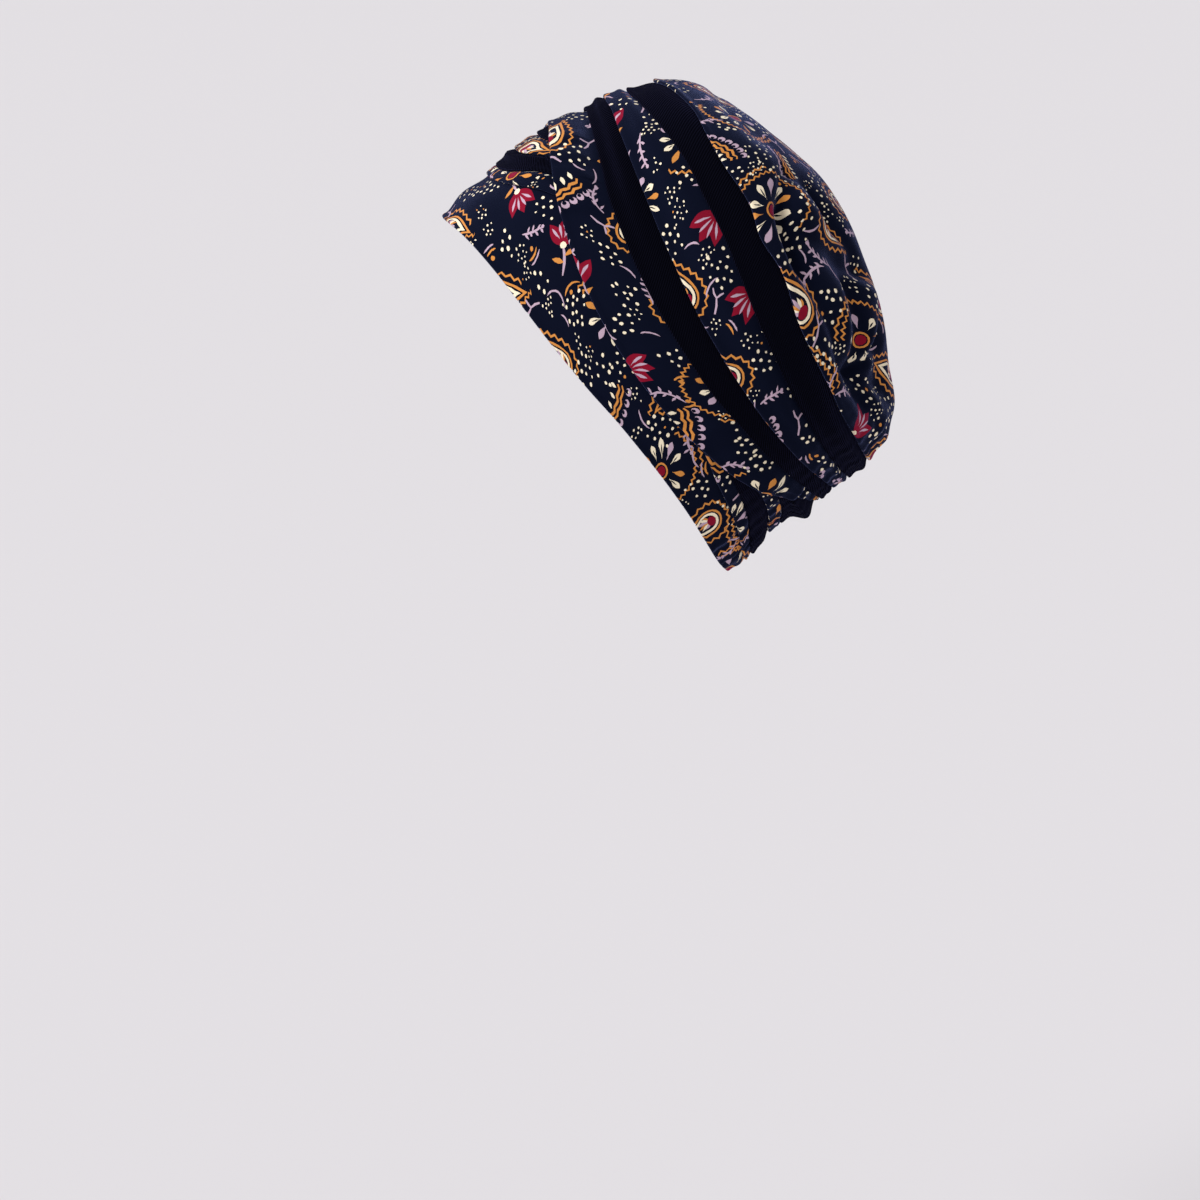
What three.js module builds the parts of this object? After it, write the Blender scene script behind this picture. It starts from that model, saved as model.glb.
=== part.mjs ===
import * as THREE from "three";

// A turban headwrap, as it sits when worn. A print band runs along the hem. A print side wrap lies over
// it, then a navy band, a print band, a second navy band and a full print crown, each one lying on the
// rear edge of the one before. In front and at the nape, small pleats show between the band and the wrap.
// Millimetres, +Z up, the brow toward -Y and the wearer's left toward +X. The origin is the seat inside
// the top of the wrap, where the top of the head carries it.
// A spot on the cloth is given by u, the angle around it from the top centre line, and w, its place
// between the loops: 0 at the hem, 1 at the side wrap's fold, and so on to the pole of the crown.

// Driving sizes
const depth = 215;
const height = 228;
const breadth = 164;
const wall = 1.2;
const clearance = 0.3;
const lap = 3;
const foldRoll = 0.6;
const foldTip = 0.7;
const hemWidth = 8;
const gatherRise = 1.8;
const pinchDepth = 7;
const creaseDepth = 4;

// How square each loop is seen from above: 1 is an ellipse, less is fuller at the sides
const fullness = 0.9;
const degree = Math.PI / 180;

const navyCloth = { color: 0x0c0b14, roughness: 0.9, metalness: 0 };
const printCloth = { color: 0x161a2c, roughness: 0.85, metalness: 0 };

function named(columns, rows) {
  return rows.map((row) => Object.fromEntries(columns.map((column, index) => [column, row[index]])));
}

// The loops that the cloth follows, from the hem to the middle of the crown. Each is a curve seen from the
// side, from the top over the temple and behind the ear to the nape: Y as shares of the depth, Z as shares
// of the height, and the half width as a share of the breadth. brow is how far it arches over the brow, as
// a share of the height.
const loops = named(
  ["line", "topY", "topZ", "templeY", "templeZ", "earY", "earZ", "napeY", "napeZ", "half", "brow"],
  [
    ["hem", -0.433, -0.261, -0.215, -0.530, 0.015, -0.683, 0.181, -0.998, 0.433, 0.032],
    ["side_wrap", -0.193, -0.077, -0.236, -0.289, 0.008, -0.742, 0.371, -0.852, 0.466, 0.006],
    ["navy_band_front", -0.113, -0.043, -0.071, -0.350, 0.130, -0.645, 0.401, -0.839, 0.479, 0],
    ["print_band", -0.071, -0.018, 0.040, -0.310, 0.157, -0.613, 0.428, -0.818, 0.488, 0],
    ["navy_band_rear", -0.025, -0.005, 0.196, -0.190, 0.217, -0.558, 0.459, -0.795, 0.494, 0],
    ["crown", 0.072, 0.011, 0.264, -0.177, 0.313, -0.516, 0.500, -0.760, 0.488, 0],
    ["crown_swell", 0.215, -0.050, 0.290, -0.128, 0.386, -0.477, 0.540, -0.677, 0.415, 0],
    ["crown_back", 0.344, -0.130, 0.372, -0.207, 0.465, -0.435, 0.547, -0.572, 0.293, 0],
    ["crown_centre", 0.442, -0.241, 0.451, -0.277, 0.509, -0.414, 0.531, -0.467, 0.152, 0],
    ["crown_pole", 0.493, -0.355, 0.493, -0.355, 0.493, -0.355, 0.493, -0.355, 0, 0],
  ],
);
const pole = loops.length - 1;

// The long pieces, each from its own loop to the next one: how far it stands off the head between its
// folds, as shares of its free width there
const bands = named(
  ["name", "cloth", "topPuff", "sidePuff", "napePuff"],
  [
    ["front_band", printCloth, 0, 0.02, 0.06],
    ["side_wrap", printCloth, 0.14, 0.04, 0.25],
    ["navy_band_front", navyCloth, 0.2, 0.04, 0.3],
    ["print_band", printCloth, 0.24, 0.13, 0.3],
    ["navy_band_rear", navyCloth, 0.12, 0.04, 0.25],
    ["crown", printCloth, 0.05, 0.1, 0.08],
  ],
);
const sideWrapLine = 1;
const crownLine = 5;

// The pleats between the front band and the side wrap: where each starts on the centre line, as a share of
// the way from the hem to the side wrap's fold, the angle at which it runs in under that fold, and how
// full it is, as a share of its free width
const pleatColumns = ["name", "cloth", "start", "reach", "puff"];
const frontPleats = named(pleatColumns, [
  ["front_sliver", printCloth, 0.44, 50, 0.1],
  ["front_pleat_navy", navyCloth, 0.53, 42, 0.2],
  ["front_pleat_print", printCloth, 0.71, 34, 0.2],
  ["front_tuck_navy", navyCloth, 0.9, 24, 0.15],
]);
const napePleats = named(pleatColumns, [
  ["nape_sliver", printCloth, 0.25, 62, 0.1],
  ["nape_pleat_navy", navyCloth, 0.31, 53, 0.25],
  ["nape_pleat_print", printCloth, 0.5, 43, 0.25],
  ["nape_tuck_navy", navyCloth, 0.72, 34, 0.2],
]);

// The places along the crown where its points lie, past its front fold
const crownOuterPlaces = [5.3, 5.55, 5.8, 6.05, 6.35, 6.7, 7.1, 7.6, 8.2];
const crownInnerPlaces = [5.4, 5.8, 6.3, 7.1, 8.2];
const crownSettled = 6.1;
const crownFullTo = 7.2;

// Where the crown is pinched in, and the soft folds beside: angles from the top, places between the loops,
// sizes as shares of the breadth and heights as shares of the pinch or crease depth
const pinches = named(
  ["angle", "place", "radius", "depth", "folds", "turn"],
  [
    [84, 5.3, 0.1, 1, 5, 0.4],
    [132, 5.9, 0.11, 1, 6, 0.1],
  ],
);
const creases = named(
  ["fromAngle", "fromPlace", "toAngle", "toPlace", "width", "depth"],
  [
    [88, 5.7, 97, 7.6, 0.045, 1],
    [112, 7.3, 128, 6.3, 0.05, -0.7],
    [140, 6.9, 150, 6.5, 0.04, 0.8],
    [40, 6, 66, 7.2, 0.05, 0.6],
  ],
);

// The gathers drawn together at the nape: waves in a whole turn, and how far around they spread
const gatherWaves = 34;
const gatherSpread = 0.55;
const gatherHemSpread = 0.35;
const gatherRest = 0.35;

// The stations around every loop, closer in front and closest at the nape
const stationCount = 56;
const napeCrowding = 0.25;
const endCrowding = 0.17;
const stations = Array.from({ length: stationCount }, (unused, index) => {
  const turn = (2 * Math.PI * index) / stationCount;
  return turn + napeCrowding * Math.sin(turn) - endCrowding * Math.sin(2 * turn);
});

function clamp(value, low, high) {
  return Math.min(Math.max(value, low), high);
}

function smooth(share) {
  const s = clamp(share, 0, 1);
  return s * s * (3 - 2 * s);
}

function remembered(compute) {
  const results = new Map();
  return (...keys) => {
    const key = keys.map((part) => part.name ?? part).join(" ");
    if (!results.has(key)) {
      results.set(key, compute(...keys));
    }
    return results.get(key);
  };
}

// The angle to either side of the top centre line, and of the nape centre line
function fromTop(u) {
  return Math.abs(Math.atan2(Math.sin(u), Math.cos(u)));
}

function fromNape(u) {
  return Math.PI - fromTop(u);
}

const sidePaths = loops.map((row) => new THREE.CubicBezierCurve3(
  new THREE.Vector3(0, row.topY * depth, row.topZ * height),
  new THREE.Vector3(0, row.templeY * depth, row.templeZ * height),
  new THREE.Vector3(0, row.earY * depth, row.earZ * height),
  new THREE.Vector3(0, row.napeY * depth, row.napeZ * height),
));

function loopPoint(line, u) {
  const point = sidePaths[line].getPoint((1 - Math.cos(u)) / 2);
  const sine = Math.sin(u);
  point.x = loops[line].half * breadth * Math.sign(sine) * Math.abs(sine) ** fullness;
  point.z += Math.cos(u) > 0 ? loops[line].brow * height * Math.sin(2 * u) ** 2 : 0;
  return point;
}

// One run of the base from the hem to the pole: a smooth curve through the loops, which crosses the pole
// into the run on the other side
const runAt = remembered((u) => {
  const points = loops.map((row, line) => loopPoint(line, u));
  const onward = [...points.slice(1), loopPoint(pole - 1, u + Math.PI)];
  const chords = points.map((point, line) => point.distanceTo(onward[line]));
  const slopes = points.map((point, line) => onward[line].clone().sub(point).divideScalar(chords[line]));
  const tangents = slopes.map((slope, line) => {
    if (line === 0) {
      return slope.clone();
    }
    const behind = slopes[line - 1].clone().multiplyScalar(chords[line]);
    const ahead = slope.clone().multiplyScalar(chords[line - 1]);
    return behind.add(ahead).divideScalar(chords[line] + chords[line - 1]);
  });
  return { points, chords, tangents };
});

function basePoint(u, w) {
  const { points, chords, tangents } = runAt(u);
  const line = clamp(Math.floor(w), 0, pole - 1);
  const s = w - line;
  return new THREE.Vector3()
    .addScaledVector(points[line], 2 * s ** 3 - 3 * s ** 2 + 1)
    .addScaledVector(tangents[line], (s ** 3 - 2 * s ** 2 + s) * chords[line])
    .addScaledVector(points[line + 1], 3 * s ** 2 - 2 * s ** 3)
    .addScaledVector(tangents[line + 1], (s ** 3 - s ** 2) * chords[line]);
}

// Millimetres along the cloth for one unit of u and of w, and the outward direction, by small steps
const step = 0.002;

const slopeAt = remembered((u, w) => {
  const place = Math.min(w, pole - 2 * step);
  const around = basePoint(u + step, place).sub(basePoint(u - step, place)).divideScalar(2 * step);
  const along = basePoint(u, place + step).sub(basePoint(u, place)).divideScalar(step);
  const outward = around.clone().cross(along).normalize();
  const forward = along.clone().normalize().negate();
  return { around: around.length(), along: along.length(), outward, forward };
});

// The lap under a fold at place w, in units of w
function lapShare(u, w) {
  return lap / slopeAt(u, w).along;
}

function gatherHeight(u, w) {
  const near = Math.exp(-((fromNape(u) / gatherSpread) ** 2));
  const fade = gatherRest + (1 - gatherRest) * Math.exp(-((w / gatherHemSpread) ** 2));
  return gatherRise * near * fade * (1 + Math.cos(gatherWaves * fromNape(u))) / 2;
}

// The pinches and creases are alike on both sides, so they are placed by the angle from the top
function pinchHeight(pinch, u, w) {
  const slope = slopeAt(pinch.angle * degree, pinch.place);
  const across = (fromTop(u) - pinch.angle * degree) * slope.around;
  const along = (w - pinch.place) * slope.along;
  const reach = Math.hypot(across, along) / (pinch.radius * breadth);
  const ray = Math.cos(pinch.folds * (Math.atan2(along, across) + pinch.turn));
  const rays = (creaseDepth / 2) * ray * reach ** 2 * Math.exp(-(reach ** 2) / 2);
  return rays - pinchDepth * pinch.depth * Math.exp(-(reach ** 2));
}

function creaseHeight(crease, u, w) {
  const from = crease.fromAngle * degree;
  const to = crease.toAngle * degree;
  const slope = slopeAt((from + to) / 2, (crease.fromPlace + crease.toPlace) / 2);
  const run = new THREE.Vector2((to - from) * slope.around, (crease.toPlace - crease.fromPlace) * slope.along);
  const spot = new THREE.Vector2((fromTop(u) - from) * slope.around, (w - crease.fromPlace) * slope.along);
  const share = clamp(spot.dot(run) / run.lengthSq(), 0, 1);
  const aside = spot.distanceTo(run.multiplyScalar(share)) / (crease.width * breadth);
  return -creaseDepth * crease.depth * Math.exp(-(aside ** 2));
}

function crownFolds(u, w) {
  const rise = pinches.reduce((sum, pinch) => sum + pinchHeight(pinch, u, w), 0)
    + creases.reduce((sum, crease) => sum + creaseHeight(crease, u, w), 0);
  return rise * smooth((w - crownLine) * 2 - 0.3) * smooth(pole - w);
}

function noFolds() {
  return 0;
}

// The pieces in the order they lie on each other. front and next give the places of a piece's own front
// fold and of the fold that covers its rear; below lists what runs in under its front fold.
function bandPuff(row) {
  return (u) => {
    const top = Math.max(Math.cos(u), 0) ** 2;
    const nape = Math.max(-Math.cos(u), 0) ** 4;
    return row.sidePuff * (1 - top - nape) + row.topPuff * top + row.napePuff * nape;
  };
}

function pleatEdge(row, angle) {
  return sideWrapLine - (sideWrapLine - row.start) * (1 - (angle / (row.reach * degree)) ** 2);
}

// A pleat goes on to the first station past its reach, where its end lies under the side wrap
const tuckShare = 0.4;

function pleatPieces(rows, angleOf, band) {
  const below = [band];
  return rows.map((row, index) => {
    const inward = (u) => angleOf(u) < row.reach * degree;
    const own = stations.filter((u, spot) => {
      const before = stations[(spot + stationCount - 1) % stationCount];
      const after = stations[(spot + 1) % stationCount];
      return inward(u) || inward(before) || inward(after);
    });
    const present = (u) => angleOf(u) <= Math.max(...own.map(angleOf)) + step;
    const front = (u) => Math.min(pleatEdge(row, angleOf(u)), sideWrapLine + tuckShare * lapShare(u, sideWrapLine));
    const following = rows[index + 1];
    const next = (u) => (following ? Math.min(pleatEdge(following, angleOf(u)), sideWrapLine) : sideWrapLine);
    const piece = {
      name: row.name, cloth: row.cloth, stations: own, present, front, next, settled: next, fullTo: next,
      below: [...below], puff: () => row.puff, folds: noFolds, roll: foldRoll / 2,
    };
    below.push(piece);
    return piece;
  });
}

function bandPiece(line, below, next) {
  const row = bands[line];
  return {
    name: row.name, cloth: row.cloth, stations, present: () => true, front: () => line, next, settled: next,
    fullTo: next, below, puff: bandPuff(row), folds: noFolds, roll: foldRoll,
  };
}

function firstPleat(u) {
  const front = pleatEdge(frontPleats[0], fromTop(u));
  const nape = pleatEdge(napePleats[0], fromNape(u));
  return Math.min(front, nape, sideWrapLine);
}

// The far end of a piece, which lies under the next fold
const rearOf = remembered((piece, u) => {
  const next = piece.next(u);
  return next + lapShare(u, next);
});

function presentBelow(piece, u) {
  return piece.below.filter((below) => below.present(u));
}

// How high a piece's inner face stands off the base: raised where it lies on others, falling to the base
// before the next fold, and full in between
const fallMargin = 0.15;
const shortestFall = 0.5;

function innerHeight(piece, u, w) {
  const rears = presentBelow(piece, u).map((below) => rearOf(below, u));
  const start = Math.max(piece.front(u), ...rears) + fallMargin * lapShare(u, piece.front(u));
  const settled = piece.settled(u);
  const roomy = settled - start > shortestFall * lapShare(u, settled);
  const fall = roomy ? smooth((w - start) / (settled - start)) : 0;
  const free = piece.fullTo(u) - start;
  const full = roomy ? clamp((w - start) / free, 0, 1) : 0;
  const puff = piece.puff(u) * free * slopeAt(u, start).along * Math.sin(Math.PI * full) ** 2;
  return liftOf(piece, u) * (1 - fall) + puff + piece.folds(u, w);
}

// How high a front fold is raised to clear what runs in under it
const liftChecks = 6;

const liftOf = remembered((piece, u) => {
  const from = piece.front(u);
  let tallest = -clearance;
  for (const below of presentBelow(piece, u)) {
    const start = Math.max(from, below.front(u));
    const end = rearOf(below, u);
    for (let check = 0; check <= liftChecks && start <= end; check += 1) {
      const place = start + ((end - start) * check) / liftChecks;
      const rolled = place < below.front(u) + lapShare(u, below.front(u)) ? below.roll : 0;
      tallest = Math.max(tallest, innerHeight(below, u, place) + wall + rolled);
    }
  }
  return tallest + clearance;
});

// The places along a piece where its points lie, kept a little apart where a pleat's end is narrow
const narrowest = 0.08;

function spreadPlaces(targets, apart) {
  const places = [...targets];
  for (let index = 1; index < places.length; index += 1) {
    places[index] = Math.max(places[index], places[index - 1] + apart);
  }
  places[places.length - 1] = Math.max(targets[targets.length - 1], targets[0] + apart * targets.length);
  for (let index = places.length - 2; index > 0; index -= 1) {
    places[index] = Math.min(places[index], places[index + 1] - apart);
  }
  return places;
}

function clothPoint(u, w, rise) {
  const point = basePoint(u, w);
  return point.addScaledVector(slopeAt(u, w).outward, rise + gatherHeight(u, w));
}

// The points across a piece at one station: its outer face from the front fold to the rear edge, and its
// inner face back again. firmly is how many points behind the fold keep the fold's extra thickness.
function sectionPoints(piece, u, outerPlaces, innerPlaces, rolledPoints) {
  const outer = outerPlaces.map((w, index) => {
    const roll = index < rolledPoints ? piece.roll : 0;
    return clothPoint(u, w, innerHeight(piece, u, w) + wall + roll);
  });
  const inner = innerPlaces.map((w) => clothPoint(u, w, innerHeight(piece, u, w)));
  const tip = outer[0].clone().add(inner[0]).divideScalar(2).addScaledVector(slopeAt(u, outerPlaces[0]).forward, foldTip);
  return { tip, outer, inner };
}

function bandSection(piece, u) {
  const isHem = piece.below.length === 0;
  const front = piece.front(u);
  const flat = isHem ? hemWidth / slopeAt(u, front).along : lapShare(u, front);
  const next = piece.next(u);
  const rear = rearOf(piece, u);
  const at = (share) => front + flat + (next - front - flat) * share;
  const apart = narrowest * lapShare(u, front);
  const outerPlaces = spreadPlaces([front, front + flat, at(0.35), at(0.7), next, rear], apart);
  const innerPlaces = spreadPlaces([front, front + flat, at(0.5), next, rear], apart);
  return sectionPoints(piece, u, outerPlaces, innerPlaces, isHem ? 2 : 1);
}

function pleatSection(piece, u) {
  const front = piece.front(u);
  const covered = Math.max(...presentBelow(piece, u).map((below) => rearOf(below, u)));
  const next = Math.max(piece.next(u), covered);
  const rear = rearOf(piece, u);
  const apart = narrowest * lapShare(u, front);
  const places = spreadPlaces([front, covered, (covered + next) / 2, next, rear], apart);
  return sectionPoints(piece, u, places, places, 1);
}

function crownSection(piece, u) {
  const front = piece.front(u);
  const flat = front + lapShare(u, front);
  return sectionPoints(piece, u, [front, flat, ...crownOuterPlaces], [front, flat, ...crownInnerPlaces], 1);
}

// Faces between neighbouring stations. The outer and the inner face are cut along the same diagonals, so
// that pieces lying on each other stay evenly apart.
class Shell {
  constructor() {
    this.positions = [];
    this.triangles = [];
  }

  add(point) {
    this.positions.push(point.x, point.y, point.z);
    return this.positions.length / 3 - 1;
  }

  face(...corners) {
    this.triangles.push(...corners);
  }

  band(from, to, isInner) {
    const [a, d] = from;
    const [b, c] = to;
    if (isInner) {
      this.face(a, b, d);
      this.face(b, c, d);
    } else {
      this.face(a, b, c);
      this.face(a, c, d);
    }
  }

  mesh(piece) {
    const geometry = new THREE.BufferGeometry();
    geometry.setAttribute("position", new THREE.Float32BufferAttribute(this.positions, 3));
    geometry.setIndex(this.triangles);
    geometry.computeVertexNormals();
    const mesh = new THREE.Mesh(geometry, new THREE.MeshStandardMaterial(piece.cloth));
    mesh.name = piece.name;
    return mesh;
  }
}

// One run of corners across the piece: from the inner face's far end to the front fold, then out to the
// outer face's far end
function runOf(shell, section) {
  const inner = [...section.inner].reverse().map((point) => shell.add(point));
  const outer = section.outer.map((point) => shell.add(point));
  return { corners: [...inner, shell.add(section.tip), ...outer], innerCount: inner.length };
}

function joinRuns(shell, runs, isLoop) {
  const last = isLoop ? runs.length : runs.length - 1;
  for (let spot = 0; spot < last; spot += 1) {
    const here = runs[spot];
    const there = runs[(spot + 1) % runs.length];
    for (let index = 0; index + 1 < here.corners.length; index += 1) {
      const from = [here.corners[index], here.corners[index + 1]];
      const to = [there.corners[index], there.corners[index + 1]];
      shell.band(from, to, index < here.innerCount);
    }
  }
}

// The rear edge closes the section behind; a pleat is closed at both its ends too
function closeRear(shell, runs, isLoop) {
  const last = isLoop ? runs.length : runs.length - 1;
  for (let spot = 0; spot < last; spot += 1) {
    const here = runs[spot].corners;
    const there = runs[(spot + 1) % runs.length].corners;
    shell.band([here[here.length - 1], here[0]], [there[there.length - 1], there[0]], false);
  }
}

function closeEnd(shell, run, isFirst) {
  const { corners, innerCount } = run;
  const cap = (a, b, c) => (isFirst ? shell.face(a, b, c) : shell.face(c, b, a));
  cap(corners[innerCount - 1], corners[innerCount], corners[innerCount + 1]);
  for (let index = 1; index < innerCount; index += 1) {
    const innerHere = corners[innerCount - index];
    const innerNext = corners[innerCount - 1 - index];
    const outerHere = corners[innerCount + index];
    const outerNext = corners[innerCount + 1 + index];
    cap(innerHere, outerHere, outerNext);
    cap(innerHere, outerNext, innerNext);
  }
}

function closePole(shell, piece, runs) {
  const outward = slopeAt(0, pole).outward;
  const centre = basePoint(0, pole);
  const innerPole = shell.add(centre.clone());
  const outerPole = shell.add(centre.clone().addScaledVector(outward, wall));
  runs.forEach((run, spot) => {
    const here = run.corners;
    const there = runs[(spot + 1) % runs.length].corners;
    shell.face(innerPole, there[0], here[0]);
    shell.face(here[here.length - 1], there[there.length - 1], outerPole);
  });
}

function bandMesh(piece) {
  const shell = new Shell();
  const runs = piece.stations.map((u) => runOf(shell, bandSection(piece, u)));
  joinRuns(shell, runs, true);
  closeRear(shell, runs, true);
  return shell.mesh(piece);
}

function pleatMesh(piece) {
  const shell = new Shell();
  const ordered = [...piece.stations].sort((a, b) => piece.along(a) - piece.along(b));
  const runs = ordered.map((u) => runOf(shell, pleatSection(piece, u)));
  joinRuns(shell, runs, false);
  closeRear(shell, runs, false);
  closeEnd(shell, runs[0], true);
  closeEnd(shell, runs[runs.length - 1], false);
  return shell.mesh(piece);
}

function crownMesh(piece) {
  const shell = new Shell();
  const runs = piece.stations.map((u) => runOf(shell, crownSection(piece, u)));
  joinRuns(shell, runs, true);
  closePole(shell, piece, runs);
  return shell.mesh(piece);
}

const headwrap = new THREE.Group();
const frontBand = bandPiece(0, [], firstPleat);
const front = pleatPieces(frontPleats, fromTop, frontBand);
const nape = pleatPieces(napePleats, fromNape, frontBand);
headwrap.add(bandMesh(frontBand));
for (const piece of [...front, ...nape]) {
  piece.along = front.includes(piece) ? (u) => Math.atan2(Math.sin(u), Math.cos(u)) : (u) => u;
  headwrap.add(pleatMesh(piece));
}
let below = [frontBand, ...front, ...nape];
for (let line = sideWrapLine; line < crownLine; line += 1) {
  const piece = bandPiece(line, below, () => line + 1);
  headwrap.add(bandMesh(piece));
  below = [piece];
}
const crown = {
  ...bandPiece(crownLine, below, () => pole), settled: () => crownSettled, fullTo: () => crownFullTo,
  folds: crownFolds,
};
headwrap.add(crownMesh(crown));

export default headwrap;
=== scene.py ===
import math

import bpy
import numpy as np
from mathutils import Matrix, Vector
from mathutils.geometry import delaunay_2d_cdt


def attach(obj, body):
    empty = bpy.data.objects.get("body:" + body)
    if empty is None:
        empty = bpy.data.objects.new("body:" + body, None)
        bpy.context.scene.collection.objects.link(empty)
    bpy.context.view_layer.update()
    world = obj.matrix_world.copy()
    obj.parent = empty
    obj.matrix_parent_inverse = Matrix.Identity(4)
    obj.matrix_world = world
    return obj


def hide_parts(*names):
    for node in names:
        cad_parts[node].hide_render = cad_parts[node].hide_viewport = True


# A turban headwrap as worn: six long wraps of cloth and eight small pleats, each one lying on the rear edge
# of the one before. Sizes are in millimetres until a mesh is made. A spot on the cloth is given by u, the
# angle around the head from the top centre line, and w, its place between the loops that the cloth follows.
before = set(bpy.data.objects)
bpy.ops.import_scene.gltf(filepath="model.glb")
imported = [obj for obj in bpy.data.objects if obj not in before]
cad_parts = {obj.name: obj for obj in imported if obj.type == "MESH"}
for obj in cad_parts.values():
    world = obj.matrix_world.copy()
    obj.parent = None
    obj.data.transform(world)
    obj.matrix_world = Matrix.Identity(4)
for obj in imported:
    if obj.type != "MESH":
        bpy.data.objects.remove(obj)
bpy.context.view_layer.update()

DEPTH, HEIGHT, BREADTH = 215.0, 228.0, 164.0
WALL, CLEARANCE, LAP = 1.2, 0.3, 3.0
FOLD_ROLL, FOLD_TIP, FOLD_RUN = 0.6, 0.9, 2.8
FULLNESS = 0.9
GATHER_RISE, GATHER_WAVES, GATHER_SPREAD, GATHER_HEM_SPREAD, GATHER_REST = 1.8, 34, 0.55, 0.35, 0.35
PINCH_DEPTH, CREASE_DEPTH = 7.0, 4.0
METRES = 0.001

# Where a piece leaves the one below it, and the room it needs to puff out, as shares of a lap
FREE_FROM, FREE_NEEDED = 0.15, 0.5

# How finely the cloth is divided: counts of rows, columns and rings, and distances between points
FOLD_ROWS, FEWEST_ROWS, BAND_COLUMNS, CROWN_INNER_RINGS, HEIGHT_CHECKS, RUN_SPOTS = 5, 5, 480, 39, 6, 9
ROW_PITCH, CROWN_PITCH, PLEAT_PITCH, JOIN_DISTANCE = 1.6, 1.5, 1.2, 0.004
PLEAT_RADIUS, CROWN_RADIUS = 95, 90
STEP, NORMAL_REACH = 0.002, 0.12

# Finer gathers at the nape: rise, waves, and how far and how fast they sway
FINE_GATHERS = [(0.5, 67, 1.3, 1.7, 0.4), (0.12, 103, -2.0, 1.1, 0.0)]
FINE_SPREAD, FINE_END, FINE_FADE = 0.62, 6.2, 0.8

# Soft swellings and dents: rise, spread around the head, place, spread along the cloth
HEM_ROLL, NAPE_DENT = (2.2, 0.4, 0.17, 0.11), (-2.8, 0.55, 2.2, 0.55)
CROWN_LIP = (-0.8, 0.6, 5.0, 0.32)

# The loops from the hem to the middle of the crown: top Y and Z, temple Y and Z, ear Y and Z, nape Y and Z,
# half width and the arch over the brow
LOOPS = np.array([
    [-0.433, -0.261, -0.215, -0.530, 0.015, -0.683, 0.181, -0.998, 0.433, 0.032],
    [-0.193, -0.077, -0.236, -0.289, 0.008, -0.742, 0.371, -0.852, 0.466, 0.006],
    [-0.113, -0.043, -0.071, -0.350, 0.130, -0.645, 0.401, -0.839, 0.479, 0],
    [-0.071, -0.018, 0.040, -0.310, 0.157, -0.613, 0.428, -0.818, 0.488, 0],
    [-0.025, -0.005, 0.196, -0.190, 0.217, -0.558, 0.459, -0.795, 0.494, 0],
    [0.072, 0.011, 0.264, -0.177, 0.313, -0.516, 0.500, -0.760, 0.488, 0],
    [0.215, -0.050, 0.290, -0.128, 0.386, -0.477, 0.540, -0.677, 0.415, 0],
    [0.344, -0.130, 0.372, -0.207, 0.465, -0.435, 0.547, -0.572, 0.293, 0],
    [0.442, -0.241, 0.451, -0.277, 0.509, -0.414, 0.531, -0.467, 0.152, 0],
    [0.493, -0.355, 0.493, -0.355, 0.493, -0.355, 0.493, -0.355, 0, 0],
])
POLE = len(LOOPS) - 1
CROWN_LINE, SIDE_WRAP_LINE = 5, 1


def smooth(share):
    s = np.clip(share, 0, 1)
    return s * s * (3 - 2 * s)


def length_of(vectors):
    return np.linalg.norm(vectors, axis=-1)


def unit(vectors):
    return vectors / np.maximum(length_of(vectors), 1e-9)[..., None]


def from_top(u):
    return np.abs(np.arctan2(np.sin(u), np.cos(u)))


def loop_points(u):
    t = (1 - np.cos(u)) / 2
    sine = np.sin(u)
    weights = [(1 - t) ** 3, 3 * (1 - t) ** 2 * t, 3 * (1 - t) * t * t, t ** 3]
    aside = np.sign(sine) * np.abs(sine) ** FULLNESS
    arch = np.where(np.cos(u) > 0, np.sin(2 * u) ** 2, 0)
    points = []
    for row in LOOPS:
        y = DEPTH * sum(weight * row[2 * k] for k, weight in enumerate(weights))
        z = HEIGHT * (sum(weight * row[2 * k + 1] for k, weight in enumerate(weights)) + row[9] * arch)
        points.append(np.stack([aside * row[8] * BREADTH, y, z], -1))
    return np.stack(points)


def base_point(u, w):
    points = loop_points(u)
    over = loop_points(u + np.pi)[POLE - 1]
    steps = np.diff(np.concatenate([points, over[None]]), axis=0)
    chords = length_of(steps)[..., None]
    slopes = steps / chords
    tangents = slopes.copy()
    tangents[1:] = (slopes[:-1] * chords[1:] + slopes[1:] * chords[:-1]) / (chords[:-1] + chords[1:])
    line = np.clip(np.floor(w).astype(int), 0, POLE - 1)
    s = (w - line)[:, None]
    k = np.arange(len(u))
    reach = chords[line, k]
    return (
        (2 * s ** 3 - 3 * s ** 2 + 1) * points[line, k]
        + (s ** 3 - 2 * s ** 2 + s) * reach * tangents[line, k]
        + (3 * s ** 2 - 2 * s ** 3) * points[line + 1, k]
        + (s ** 3 - s ** 2) * reach * tangents[line + 1, k]
    )


def slopes_at(u, w):
    """Millimetres for one unit of u and of w, the outward direction and the direction toward the hem."""
    place = np.minimum(w, POLE - 2 * STEP)
    around = (base_point(u + STEP, place) - base_point(u - STEP, place)) / (2 * STEP)
    along = (base_point(u, place + STEP) - base_point(u, place)) / STEP
    outward = unit(np.cross(around, along))
    return length_of(around), length_of(along), outward, -unit(along)


def lap_share(u, w):
    return LAP / slopes_at(u, w)[1]


def bell(value, middle, width):
    """A soft rise to 1 at the middle."""
    return np.exp(-(((value - middle) / width) ** 2))


def swelling(angle, w, rise, around, place, along):
    return rise * bell(angle, 0, around) * bell(w, place, along)


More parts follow.
